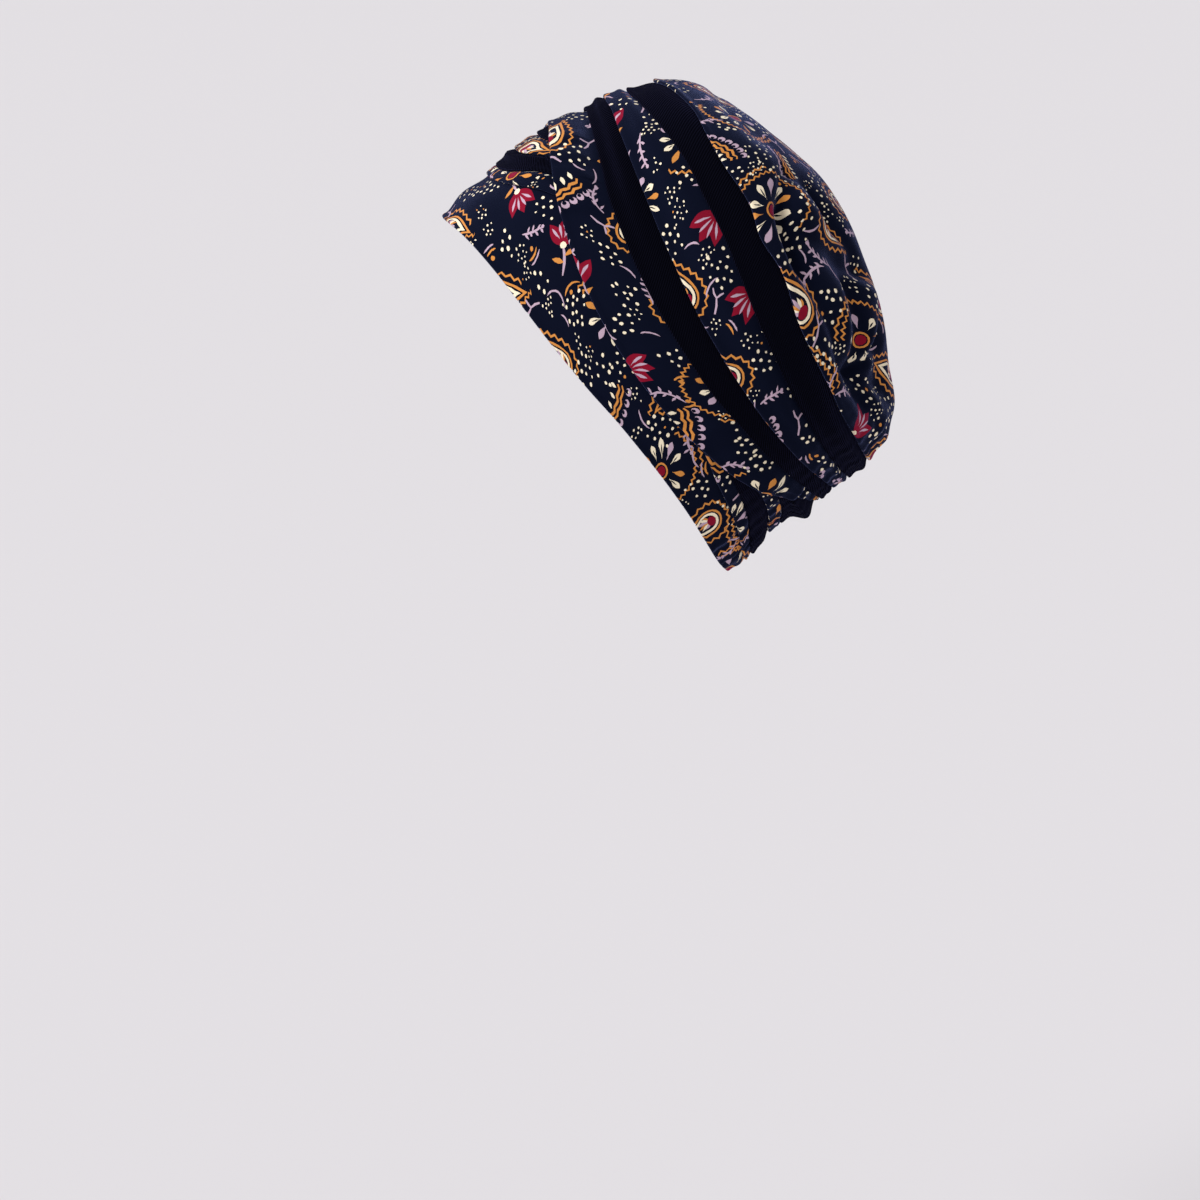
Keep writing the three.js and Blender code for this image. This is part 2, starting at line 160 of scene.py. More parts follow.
def relief(u, w, spots):
    """The gathers drawn together at the nape, finer ones between them, and soft uneven tension."""
    nape = np.pi - from_top(u)
    fade = GATHER_REST + (1 - GATHER_REST) * bell(w, 0, GATHER_HEM_SPREAD)
    height = GATHER_RISE * bell(nape, 0, GATHER_SPREAD) * fade * (1 + np.cos(GATHER_WAVES * nape)) / 2
    tight = np.exp(-((nape / FINE_SPREAD) ** 4)) * smooth((FINE_END - w) / FINE_FADE)
    for rise, waves, sway, rate, phase in FINE_GATHERS:
        height += tight * rise * np.cos(waves * u + sway * np.sin(rate * w + phase))
    height += swelling(nape, w, *HEM_ROLL)
    height += swelling(nape, w, *NAPE_DENT)
    for direction, phase, rise in RIPPLES:
        height += rise * np.sin(spots @ direction + phase)
    return height


def make_ripples(seed, count, shortest, longest, rise):
    """Waves through space in chance directions, so that they run on from one piece to the next."""
    rng = np.random.default_rng(seed)
    made = []
    for _ in range(count):
        direction = unit(rng.normal(size=3))
        wave = rng.uniform(shortest, longest)
        made.append((direction * 2 * np.pi / wave, rng.uniform(0, 2 * np.pi), rise * wave / longest))
    return made


RIPPLES = make_ripples(seed=5, count=9, shortest=16, longest=46, rise=0.16)

# The crown's pinches: angle, place, radius, depth, folds and turn. Its creases: angle and place from and
# to, width and depth, where a depth below 0 makes a ridge.
PINCHES = [(83, 5.2, 0.085, 1.05, 5, 0.4), (132, 5.9, 0.1, 1.35, 6, 0.1)]
CREASES = [
    (88, 5.7, 97, 7.6, 0.045, 1), (112, 7.3, 128, 6.3, 0.05, -0.8), (140, 6.9, 150, 6.5, 0.04, 0.9),
    (40, 6, 66, 7.2, 0.05, 0.6), (0, 6.4, 35, 6.5, 0.08, 0.42), (0, 5.6, 30, 5.55, 0.022, 0.22),
    (56, 6.35, 76, 5.75, 0.026, 0.8), (76, 5.75, 83, 5.2, 0.022, 0.6), (86, 5.3, 112, 5.75, 0.026, 0.55),
    (104, 6.8, 128, 6.1, 0.03, 0.9),
    (118, 5.4, 131, 5.8, 0.022, 0.5), (134, 6.0, 150, 5.6, 0.024, 0.55), (134, 6.1, 158, 6.3, 0.026, 0.5),
    (62, 7.0, 84, 7.6, 0.03, 0.5), (96, 5.3, 118, 5.15, 0.03, -0.3), (148, 5.35, 172, 5.4, 0.035, -0.4),
]
CREASE_WIDER, CREASE_DEEPER = 1.35, 1.5


def one(value):
    return np.array([float(value)])


def crown_folds(u, w):
    """Millimetres that the pinches and creases raise the crown, less than 0 where they sink it."""
    angle = from_top(u)
    rise = np.zeros(len(u))
    for at, place, radius, depth, folds, turn in PINCHES:
        around, along = slopes_at(one(math.radians(at)), one(place))[:2]
        across = (angle - math.radians(at)) * around
        onward = (w - place) * along
        reach = np.hypot(across, onward) / (radius * BREADTH)
        ray = np.cos(folds * (np.arctan2(onward, across) + turn))
        rise += CREASE_DEPTH / 2 * ray * reach ** 2 * np.exp(-reach ** 2 / 2)
        rise -= PINCH_DEPTH * depth * np.exp(-reach ** 2)
    for from_angle, from_place, to_angle, to_place, width, depth in CREASES:
        start, end = math.radians(from_angle), math.radians(to_angle)
        around, along = slopes_at(one((start + end) / 2), one((from_place + to_place) / 2))[:2]
        run = np.array([(end - start) * around[0], (to_place - from_place) * along[0]])
        spot = np.stack([(angle - start) * around, (w - from_place) * along], -1)
        share = np.clip(spot @ run / (run @ run), 0, 1)
        aside = length_of(spot - share[:, None] * run) / (CREASE_WIDER * width * BREADTH)
        rise -= CREASE_DEEPER * CREASE_DEPTH * depth * np.exp(-aside ** 2)
    return rise * smooth((w - CROWN_LINE) * 2 - 0.3) * smooth(POLE - w) + swelling(angle, w, *CROWN_LIP)


# Tables of what changes around the head, from the nape over the top and back to the nape
TURNS = np.linspace(-np.pi, np.pi, 1441)
ACROSS = np.linspace(0, 1, 81)


def around_table(table, u):
    return np.interp(np.arctan2(np.sin(u), np.cos(u)), TURNS, table)


def widened(table, reach=10):
    """The table with each rise spread a little to both sides, so that nothing steps."""
    ring = table[:-1]
    spread = np.max([np.roll(ring, k) for k in range(-reach, reach + 1)], axis=0)
    weights = np.hanning(2 * reach + 3)[1:-1]
    soft = sum(weight * np.roll(spread, k - reach) for k, weight in enumerate(weights)) / weights.sum()
    return np.append(soft, soft[0])


LATER_STRIPS = 0.14


def progress(w):
    """The way up the nape: past the first strip between the loops, the next is far shorter."""
    return np.minimum(w, 1) + LATER_STRIPS * np.maximum(w - 1, 0)


def run_length(u, low, high):
    """Millimetres along the cloth between two places at each angle."""
    places = low[:, None] + (high - low)[:, None] * np.linspace(0, 1, RUN_SPOTS)
    spots = base_point(np.repeat(u, RUN_SPOTS), places.ravel()).reshape(*places.shape, 3)
    return length_of(np.diff(spots, axis=1)).sum(1)


class Piece:
    """A wrap or pleat from its front fold to its rear edge, lying on the pieces below it."""

    def __init__(self, name, cloth, front, next_line, below, puff, roll=FOLD_ROLL, present=None, folds=None,
                 settled=None, full_to=None, span=None):
        self.name, self.cloth, self.below, self.roll, self.folds = name, cloth, below, roll, folds
        self.span = span
        self.present = np.ones(len(TURNS), bool) if present is None else present
        self.front = front
        self.rear = next_line + lap_share(TURNS, next_line) if folds is None else next_line
        self.settled = next_line if settled is None else settled
        self.full_to = next_line if full_to is None else full_to
        self.puff = puff
        rears = [np.where(b.present, b.rear, -1.0) for b in below]
        self.start = np.maximum.reduce([front, *rears]) + FREE_FROM * lap_share(TURNS, front)
        self.roomy = self.settled - self.start > FREE_NEEDED * lap_share(TURNS, self.settled)
        self.free_mm = (self.full_to - self.start) * slopes_at(TURNS, self.start)[1]
        if span:
            self.free_mm = np.minimum(self.free_mm, run_length(TURNS, self.start, self.full_to))
        self.lift = widened(self.lift_over_below())
        places = front[:, None] + (self.rear - front)[:, None] * ACROSS
        spots = base_point(np.repeat(TURNS, len(ACROSS)), places.ravel()).reshape(*places.shape, 3)
        steps = length_of(np.diff(spots, axis=1))
        lengths = np.concatenate([np.zeros((len(TURNS), 1)), np.cumsum(steps, 1)], 1)
        self.reach = lengths[:, -1]
        self.places = np.array([
            np.interp(ACROSS * run[-1], run, row) for run, row in zip(lengths, places)
        ])

    def lift_over_below(self):
        tallest = np.full(len(TURNS), -CLEARANCE)
        for below in self.below:
            start = np.maximum(self.front, below.front)
            for check in range(HEIGHT_CHECKS + 1):
                place = start + (below.rear - start) * check / HEIGHT_CHECKS
                rolled = np.where(place < below.front + lap_share(TURNS, below.front), below.roll, 0)
                top = below.inner_height(TURNS, place) + WALL + rolled
                rests = below.present & (start <= below.rear)
                tallest = np.where(rests, np.maximum(tallest, top), tallest)
        return tallest + CLEARANCE

    def inner_height(self, u, w):
        start, settled, lift = (around_table(x, u) for x in (self.start, self.settled, self.lift))
        free = np.maximum(around_table(self.full_to, u) - start, 1e-6)
        roomy = around_table(self.roomy.astype(float), u)
        fall = roomy * smooth((w - start) / np.maximum(settled - start, 1e-6))
        full = roomy * np.clip((w - start) / free, 0, 1)
        if self.span:
            low, high = progress(start), progress(start + free)
            full = roomy * np.clip((progress(w) - low) / np.maximum(high - low, 1e-6), 0, 1)
        puff = around_table(self.puff, u) * np.maximum(around_table(self.free_mm, u), 0)
        height = lift * (1 - fall) + puff * np.sin(np.pi * full) ** 2
        return height + (self.folds(u, w) if self.folds else 0)

    def place_at(self, u, share):
        """w at a share of the way across the piece, from its front fold."""
        column = (np.arctan2(np.sin(u), np.cos(u)) + np.pi) / (TURNS[1] - TURNS[0])
        row = np.clip(share, 0, 1) * (len(ACROSS) - 1)
        c = np.clip(np.floor(column).astype(int), 0, len(TURNS) - 2)
        r = np.clip(np.floor(row).astype(int), 0, len(ACROSS) - 2)
        a, b = column - c, row - r
        t = self.places
        before = t[c, r] * (1 - b) + t[c, r + 1] * b
        after = t[c + 1, r] * (1 - b) + t[c + 1, r + 1] * b
        return before * (1 - a) + after * a

    def outer(self, u, t):
        """The outer face t millimetres behind the front fold, or around the fold where t is below 0."""
        w = self.place_at(u, t / around_table(self.reach, u))
        thick = WALL + self.roll * (1 - smooth(t / LAP))
        turn = np.pi * np.clip(-t / FOLD_RUN, 0, 1)
        spots = base_point(u, w)
        slopes = slopes_at(u, w)
        rise = self.inner_height(u, w) + thick * (1 + np.cos(turn)) / 2 + relief(u, w, spots)
        return spots + slopes[2] * rise[:, None] + slopes[3] * (FOLD_TIP * np.sin(turn))[:, None]

    def inner(self, u, share):
        w = self.place_at(u, share)
        spots = base_point(u, w)
        rise = self.inner_height(u, w) + relief(u, w, spots)
        return spots + slopes_at(u, w)[2] * rise[:, None]


TOP_SHARE = np.maximum(np.cos(TURNS), 0) ** 2
NAPE_SHARE = np.maximum(-np.cos(TURNS), 0) ** 4
TOP_ANGLE = np.abs(TURNS)
NAPE_ANGLE = np.pi - TOP_ANGLE


def band_puff(top, side, nape):
    """How far a wrap puffs out over the top, at the sides and at the nape, as shares of its free run."""
    return side * (1 - TOP_SHARE - NAPE_SHARE) + top * TOP_SHARE + nape * NAPE_SHARE


def level(value):
    return np.full(len(TURNS), float(value))


def hump(angle, middle, width):
    """A rise at so many degrees from the top, on both sides."""
    return bell(np.degrees(angle), middle, width)


def wander(seed, rise):
    """An uneven line around the head, in millimetres."""
    rng = np.random.default_rng(seed)
    return sum(rise / np.sqrt(k) * np.sin(k * TURNS + rng.uniform(0, 2 * np.pi)) for k in (5, 8, 13, 19))


def uneven(line, seed, rise=0.35):
    return line + wander(seed, rise) / slopes_at(TURNS, level(line))[1]


# The side wrap's fold runs up towards the nape, from an angle and over so many degrees
SIDE_RISE, SIDE_FROM, SIDE_OVER = 0.72, 128, 44
SIDE_LINE = SIDE_WRAP_LINE + SIDE_RISE * smooth((np.degrees(TOP_ANGLE) - SIDE_FROM) / SIDE_OVER)

# The crown's fold leans forward over the navy band in soft lobes: how far, at which angle, how wide
CROWN_LOBES = [(0.38, 0, 17), (0.22, 52, 18), (0.16, 80, 7), (0.08, 103, 9)]
CROWN_FRONT = uneven(CROWN_LINE, 3, 0.5) - sum(
    lean * hump(TOP_ANGLE, at, width) for lean, at, width in CROWN_LOBES
)


def pleat_edge(start, reach, angle, power):
    """A pleat's fold: furthest forward on the centre line, and run into the side wrap's at its reach."""
    return SIDE_LINE - (SIDE_LINE - start) * (1 - (angle / math.radians(reach)) ** power)


# The pleats: name, cloth, start on the centre line, the angle where it runs in, fullness
FRONT_PLEATS = [
    ("front_sliver", "print", 0.44, 50, 0.1), ("front_pleat_navy", "navy", 0.53, 42, 0.2),
    ("front_pleat_print", "print", 0.71, 34, 0.1), ("front_tuck_navy", "navy", 0.9, 24, 0.05),
]
NAPE_PLEATS = [
    ("nape_sliver", "print", 0.22, 60, 0.1), ("nape_pleat_navy", "navy", 0.3, 51, 0.1),
    ("nape_pleat_print", "print", 0.55, 45, 0.2), ("nape_tuck_navy", "navy", 0.69, 40, 0.3),
]
FRONT_POWER, NAPE_POWER = 3.2, 2.8
PAST_REACH = math.radians(3)


def pleat_pieces(rows, angle, middle, band, power):
    made = []
    for index, (name, cloth, start, reach, puff) in enumerate(rows):
        edge = pleat_edge(start, reach, angle, power)
        front = np.minimum(edge, SIDE_LINE + 0.4 * lap_share(TURNS, SIDE_LINE))
        following = SIDE_LINE
        if index + 1 < len(rows):
            following = np.minimum(pleat_edge(*rows[index + 1][2:4], angle, power), SIDE_LINE)
        span = math.radians(reach) + PAST_REACH
        made.append(Piece(
            name, cloth, front, np.maximum(following, front), [band, *made], level(puff), roll=FOLD_ROLL / 2,
            present=angle <= span, span=(middle - span, middle + span),
        ))
    return made


first_pleat = np.minimum.reduce([
    pleat_edge(*FRONT_PLEATS[0][2:4], TOP_ANGLE, FRONT_POWER),
    pleat_edge(*NAPE_PLEATS[0][2:4], NAPE_ANGLE, NAPE_POWER),
    SIDE_LINE,
])
NAPE_NOTCH, NAPE_NOTCH_WIDTH = 0.045, 16
front_band = Piece(
    "front_band", "print", NAPE_NOTCH * hump(NAPE_ANGLE, 0, NAPE_NOTCH_WIDTH), first_pleat, [],
    band_puff(0.08, 0.02, 0.06),
)
pleats = pleat_pieces(FRONT_PLEATS, TOP_ANGLE, 0.0, front_band, FRONT_POWER)
pleats += pleat_pieces(NAPE_PLEATS, NAPE_ANGLE, np.pi, front_band, NAPE_POWER)
side_wrap = Piece(
    "side_wrap", "print", SIDE_LINE, level(2), [front_band, *pleats], band_puff(0.08, 0.04, 0.1)
)
navy_front = Piece(
    "navy_band_front", "navy", uneven(2, 4), level(3), [side_wrap], band_puff(0.26, 0.04, 0.1)
)
print_band = Piece(
    "print_band", "print", uneven(3, 5), level(4), [navy_front], band_puff(0.18, 0.13, 0.25)
)
navy_rear = Piece(
    "navy_band_rear", "navy", uneven(4, 6, 0.45), level(5), [print_band], band_puff(0.06, 0.04, 0.25)
)
crown = Piece(
    "crown", "print", CROWN_FRONT, level(POLE), [navy_rear], band_puff(0.05, 0.1, 0.08), folds=crown_folds,
    settled=level(6.1), full_to=level(7.2),
)


# Printed motifs, as flat shapes in millimetres: each is an ink and the corners of its outline
GROUND, CREAM, OCHRE, MAUVE, BURGUNDY = range(5)


def turned(points, angle):
    c, s = math.cos(angle), math.sin(angle)
    return np.asarray(points, float) @ np.array([[c, s], [-s, c]])


def disc(x, y, radius, corners=9, squash=1.0, turn=0.0):
    a = np.linspace(0, 2 * np.pi, corners, endpoint=False)
    return turned(np.stack([radius * np.cos(a), squash * radius * np.sin(a)], -1), turn) + [x, y]


def leaf(start, end, width, widest=0.5, points=6):
    """A pointed leaf, at its widest at a share of its length."""
    start, end = np.asarray(start, float), np.asarray(end, float)
    axis = end - start
    side = np.array([-axis[1], axis[0]]) / max(np.hypot(*axis), 1e-6)
    shares = np.linspace(0, 1, points + 2)[1:-1]
    half = width / 2 * np.sin(np.pi * shares ** (math.log(0.5) / math.log(widest)))
    left = start + axis * shares[:, None] + side * half[:, None]
    right = start + axis * shares[:, None] - side * half[:, None]
    return np.concatenate([[start], right, [end], left[::-1]])


def stroke(points, width, taper=0.5):
    """A brush line along the points, thinner at both ends."""
    points = np.asarray(points, float)
    along = unit(np.gradient(points, axis=0))
    side = np.stack([-along[:, 1], along[:, 0]], -1)
    share = np.linspace(0, 1, len(points))
    half = width / 2 * (1 - taper * (2 * share - 1) ** 4)[:, None]
    return np.concatenate([points - side * half, (points + side * half)[::-1]])


def arc(x, y, radius, start, end, points=9):
    a = np.radians(np.linspace(start, end, points))
    return np.stack([x + radius * np.cos(a), y + radius * np.sin(a)], -1)


def drop(length, width, bend, points=26):
    a = np.linspace(0, 2 * np.pi, points, endpoint=False)
    y = length / 2 * np.cos(a)
    x = width / 2 * np.sin(a) * np.sin(a / 2) ** 1.4 * 1.25
    x = x + bend * (y / length + 0.5) ** 2
    return np.stack([x, y], -1)[::-1]


def toothed(points, width, teeth):
    """A zigzag line."""
    points = np.asarray(points, float)
    along = unit(np.gradient(points, axis=0))
    side = np.stack([-along[:, 1], along[:, 0]], -1)
    tips = side * (teeth * (np.arange(len(points)) % 2))[:, None]
    return np.concatenate([points + tips - side * width / 2, (points + tips + side * width / 2)[::-1]])


def paisley(rng):
    length, width = rng.uniform(18, 22), rng.uniform(11, 13)
    bend = rng.choice([-1, 1]) * rng.uniform(4, 6)
    outline = drop(length, width, bend)
    centre = np.array([0, -length * 0.18])
    edge = drop(length * 1.22, width * 1.38, bend, 46)
    edge = edge if signed_area(edge) < 0 else edge[::-1]
    shapes = [(OCHRE, toothed(edge[2:41], 0.78, 1.15))]
    for share, ink in ((1.0, OCHRE), (0.86, GROUND), (0.76, CREAM), (0.58, GROUND)):
        shapes.append((ink, (outline - centre) * share + centre))
    root = centre - [0, length * 0.1]
    for tilt, ink in ((-66, OCHRE), (-40, CREAM), (-14, MAUVE), (14, OCHRE), (40, CREAM), (66, MAUVE)):
        a = math.radians(90 + tilt)
        tip = centre + np.array([math.cos(a), math.sin(a)]) * length * (0.24 - 0.0012 * abs(tilt))
        shapes.append((ink, leaf(root, tip, 1.3, 0.6)))
    shapes.append((BURGUNDY, disc(centre[0], centre[1] - length * 0.09, 2.3, 10, 0.8)))
    return shapes


def rosette(rng):
    radius = rng.uniform(9.5, 12)
    petals = int(rng.integers(9, 13))
    shapes = []
    for k in range(petals):
        a = 2 * np.pi * k / petals + rng.uniform(-0.07, 0.07)
        way = np.array([math.cos(a), math.sin(a)])
        tip = turned(way * radius * rng.uniform(0.82, 1.1), rng.uniform(-0.12, 0.12))
        wide = 2 * np.pi * radius / petals * rng.uniform(0.34, 0.46)
        ink = (CREAM, CREAM, OCHRE, CREAM, MAUVE)[k % 5]
        shapes.append((ink, leaf(way * radius * 0.4, tip, wide, 0.7, 7)))
        if ink == CREAM:
            shapes.append((GROUND, leaf(way * radius * 0.5, tip * 0.84, wide * 0.2, 0.5, 4)))
    shapes.append((OCHRE, disc(0, 0, radius * 0.3, 14, 0.9)))
    shapes.append((GROUND, disc(0, 0, radius * 0.23, 12, 0.9)))
    shapes.append((BURGUNDY, disc(0, 0, radius * 0.18, 10)))
    start = rng.uniform(0, 360)
    for ring, sweep in ((1.27, 190), (1.5, 70)):
        line = arc(0, 0, radius * ring, start + 190 - sweep, start + 190, 2 * int(sweep / 9) + 1)[::-1]
        shapes.append((OCHRE, toothed(line, 0.75, 1.1)))
    return shapes


def tulip(rng):
    size = rng.uniform(9, 11)
    shapes = []
    for tilt in (-34, 34, 0):
        a = math.radians(90 + tilt)
        tip = np.array([math.cos(a), math.sin(a)]) * size
        shapes.append((BURGUNDY, leaf((0, -1), tip, size * 0.5, 0.48, 7)))
    for tilt in (-36, -12, 12, 36):
        a = math.radians(90 + tilt)
        way = np.array([math.cos(a), math.sin(a)])
        shapes.append((MAUVE, leaf(way * size * 0.22, way * size * 0.8, 1.0, 0.6, 4)))
    stem = np.array([[0, -1], [0.5, -4], [0.2, -7], [-1.2, -10.5]])
    shapes.append((MAUVE, stroke(stem, 1.1)))
    shapes.append((OCHRE, leaf((0.4, -4.5), (5.4, -1.6), 1.7)))
    shapes.append((OCHRE, leaf((0.2, -6.5), (-5.2, -4.0), 1.7)))
    shapes.append((CREAM, disc(0, -0.6, 1.3, 8)))
    return shapes


def garland(rng):
    bow = rng.uniform(16, 24)
    span = rng.uniform(50, 66)
    start = 90 - span / 2
    shapes = []
    for radius, width in ((bow, 1.1), (bow + 2.0, 0.9)):
        line = arc(0, -bow, radius, start, start + span, 18)
        wave = unit(line - [0, -bow]) * (0.5 * np.sin(np.arange(18) * 2.1))[:, None]
        shapes.append((OCHRE, stroke(line + wave, width, 0.3)))
    for a in np.linspace(start + 3, start + span - 3, 8):
        centre = arc(0, -bow, bow + 5.0, a, a, 1)[0]
        shapes.append((MAUVE, disc(*centre, 1.35, 9)))
        inner = arc(0, -bow, bow + 4.3, a, a, 1)[0]
        shapes.append((GROUND, disc(*inner, 0.75, 7)))
    for a in np.linspace(start + 4, start + span - 4, 6):
        foot = arc(0, -bow, bow - 1.2, a, a, 1)[0]
        tip = arc(0, -bow, bow - 4.2, a + 3, a + 3, 1)[0]
        shapes.append((CREAM, leaf(foot, tip, 1.3, 0.5, 4)))
    return shapes


def sprig(rng):
    length = rng.uniform(11, 17)
    bow = rng.uniform(-0.25, 0.25) * length
    y = np.linspace(-length / 2, length / 2, 9)
    x = bow * (1 - (2 * y / length) ** 2)
    stem = np.stack([x, y], -1)
    shapes = [(MAUVE, stroke(stem, 1.05, 0.6))]
    for k in range(1, 8):
        side = 1 if k % 2 else -1
        foot = stem[k]
        tip = foot + [side * rng.uniform(1.9, 3.0), rng.uniform(1.4, 2.4)]
        shapes.append((MAUVE, leaf(foot, tip, 1.1, 0.5, 3)))
    shapes.append((MAUVE, disc(*stem[-1], 0.9, 7)))
    return shapes


def forked(rng):
    length = rng.uniform(9, 14)
    stem = np.array([[0, -length / 2], [0.5, -length / 6], [0, length / 8]])
    left = np.array([[0, length / 8], [-1.6, length / 3.4], [-2.4, length / 2]])
    right = np.array([[0, length / 8], [1.8, length / 4], [3.6, length / 3]])
    return [(MAUVE, stroke(part, 1.05, 0.3)) for part in (stem, left, right)]


def crescents(rng):
    span = rng.uniform(50, 85)
    radius = rng.uniform(5, 8)
    shapes = [(OCHRE, stroke(arc(-radius, 0, radius, -span / 2, span / 2), 0.95, 0.8))]
    if rng.random() < 0.7:
        shapes.append((MAUVE, stroke(arc(-radius, 0, radius + 2.1, -span / 2.6, span / 2.3), 0.85, 0.8)))
    if rng.random() < 0.6:
        shapes.append((OCHRE, disc(-3.0, 1.0, 1.05, 8)))
    return shapes


def lone_arc(rng):
    radius = rng.uniform(5, 9)
    return [(MAUVE, stroke(arc(-radius, 0, radius, -38, 38), 0.85, 0.8))]


def dot_group(rng, reach, pitch):
    shapes = []
    rows = int(2 * reach / pitch) + 1
    tilt = rng.uniform(0, np.pi)
    for i in range(rows):
        for j in range(rows):
            shift = rng.uniform(-0.22, 0.22, 2) * pitch
            spot = np.array([i + 0.5 * (j % 2), j * 0.9]) * pitch - reach + shift
            if np.hypot(*spot) < reach * rng.uniform(0.75, 1.05):
                ink = CREAM if rng.random() < 0.96 else OCHRE
                radius = rng.uniform(0.62, 1.0) * pitch / 4.2
                shapes.append((ink, disc(*turned(spot, tilt), radius, 7, rng.uniform(0.75, 1), tilt)))
    return shapes


def dots(rng):
    return dot_group(rng, rng.uniform(7, 9.5), rng.uniform(3.9, 4.8))


def fine_dots(rng):
    return dot_group(rng, rng.uniform(4, 5.5), rng.uniform(2.4, 2.9))


# The large motifs stand in uneven rows, and the small ones fill in between them: motif, radius of its place,
# and how many are tried for each patch of FILLER_PATCH square millimetres
MOTIFS = [paisley, rosette, garland, tulip, rosette, paisley, tulip]
MOTIF_PITCH, MOTIF_ROW_SHARE, MOTIF_SHIFT, MOTIF_ROOM, MOTIF_SIZE = 42.0, 0.9, 3.5, 16.5, 1.3
FILLERS = [
    (sprig, 6.5, 0.12), (dots, 7.0, 1.3), (forked, 5.5, 0.4), (fine_dots, 4.6, 1.0), (crescents, 4.8, 0.8),
    (fine_dots, 4.4, 1.0), (lone_arc, 3.4, 1.4),
]
FILLER_PATCH, FILLER_OVERLAP = 55, 0.82
GRID_SHIFT, OUTLINE_ROUGHNESS = 8, 0.07


def print_layout(low, high, seed):
    """The print over a rectangle of cloth, as (ink, corners) in the order it is laid down."""
    rng = np.random.default_rng(seed)
    taken, shapes = [], []

    def lay(kind, x, y, radius, size=1.0):
        angle = rng.uniform(0, 2 * np.pi)
        taken.append((x, y, radius))
        for ink, outline in kind(rng):
            rough = rng.normal(0, OUTLINE_ROUGHNESS, outline.shape)
            shapes.append((ink, turned(outline * size + rough, angle) + [x, y]))

    pitch, shift = MOTIF_PITCH, MOTIF_SHIFT
    columns = int((high[0] - low[0]) / pitch) + 2
    rows = int((high[1] - low[1]) / (pitch * MOTIF_ROW_SHARE)) + 2
    offset = rng.uniform(-GRID_SHIFT, GRID_SHIFT, 2)
    for row in range(rows):
        for column in range(columns):
            x = low[0] + (column + 0.5 * (row % 2)) * pitch + rng.uniform(-shift, shift) + offset[0]
            y = low[1] + row * pitch * MOTIF_ROW_SHARE + rng.uniform(-shift, shift) + offset[1]
            lay(MOTIFS[int(rng.integers(len(MOTIFS)))], x, y, MOTIF_ROOM, MOTIF_SIZE)
    area = (high[0] - low[0]) * (high[1] - low[1])
    for kind, radius, share in FILLERS:
        for _ in range(int(area * share / FILLER_PATCH)):
            x, y = rng.uniform(low, high)
            if all((x - a) ** 2 + (y - b) ** 2 > (FILLER_OVERLAP * (radius + r)) ** 2 for a, b, r in taken):
                lay(kind, x, y, radius)
    return shapes


def signed_area(polygon):
    x, y = polygon[:, 0], polygon[:, 1]
    return 0.5 * float((x * np.roll(y, -1) - y * np.roll(x, -1)).sum())


SMALLEST_SHAPE = 0.15


def kept_inside(polygon, clamp):
    """The outline with its corners brought inside the cloth, or None where it lies wholly outside."""
    moved = clamp(polygon)
    outside = (length_of(moved - polygon) > 1e-9).all()
    return None if outside or abs(signed_area(moved)) < SMALLEST_SHAPE else moved


def cut_cloth(points, outline, shapes):
    """Triangles over the outline that follow every printed shape, with the ink of each."""
    coordinates, edges = [Vector(p) for p in points], []
    for _, polygon in shapes:
        first, count = len(coordinates), len(polygon)
        coordinates += [Vector(p) for p in polygon]
        edges += [(first + k, first + (k + 1) % count) for k in range(count)]
    verts, _, faces, from_vertex, _, from_face = delaunay_2d_cdt(
        coordinates, edges, [list(outline)], 0, JOIN_DISTANCE
    )
    kept = []
    for triangle, sources in zip(faces, from_face):
        if sources:
            kept += [(triangle[0], triangle[k], triangle[k + 1]) for k in range(1, len(triangle) - 1)]
    place = {}
    for k, sources in enumerate(from_vertex):
        for source in sources:
            if source < len(points):
                place[source] = k
    spots, kept = np.array([tuple(v) for v in verts]), np.array(kept)
    return spots, kept, inks_of(spots[kept].mean(1), shapes), place


def inks_of(centres, shapes):
    """The ink at each spot: that of the last shape laid over it."""
    order = np.argsort(centres[:, 0])
    x, y = centres[order].T
    inks = np.zeros(len(centres), int)
    for ink, polygon in shapes:
        low, high = np.searchsorted(x, (polygon[:, 0].min(), polygon[:, 0].max()))
        bottom, top = polygon[:, 1].min(), polygon[:, 1].max()
        near = low + np.flatnonzero((y[low:high] > bottom) & (y[low:high] < top))
        following = np.roll(polygon, -1, 0)
        inside = np.zeros(len(near), bool)
        for (x0, y0), (x1, y1) in zip(polygon, following):
            if y0 != y1:
                crossed = (y0 > y[near]) != (y1 > y[near])
                inside ^= crossed & (x[near] < (x1 - x0) * (y[near] - y0) / (y1 - y0) + x0)
        inks[order[near[inside]]] = ink
    return inks


# The columns of a band stand closer together over the top than at the nape
TOP_CROWDING = 0.3


def column_angles(piece):
    if piece.span:
        low, high = piece.span
        count = int(round((high - low) * PLEAT_RADIUS / PLEAT_PITCH))
        return np.linspace(low, high, count + 1)
    turn = np.linspace(0, 2 * np.pi, BAND_COLUMNS + 1)
    return turn + TOP_CROWDING * np.sin(turn) - np.pi


PRINT_SEEDS = {
    "front_band": 11, "front_sliver": 12, "front_pleat_print": 13, "nape_sliver": 14, "nape_pleat_print": 15,
    "side_wrap": 16, "print_band": 17, "crown": 18,
}
# How far the print stays inside a strip's ends, its fold and its rear edge, and inside the crown's fold
END_MARGIN, FOLD_MARGIN, REAR_MARGIN, CROWN_MARGIN = 0.8, 0.3, 0.5, 0.4


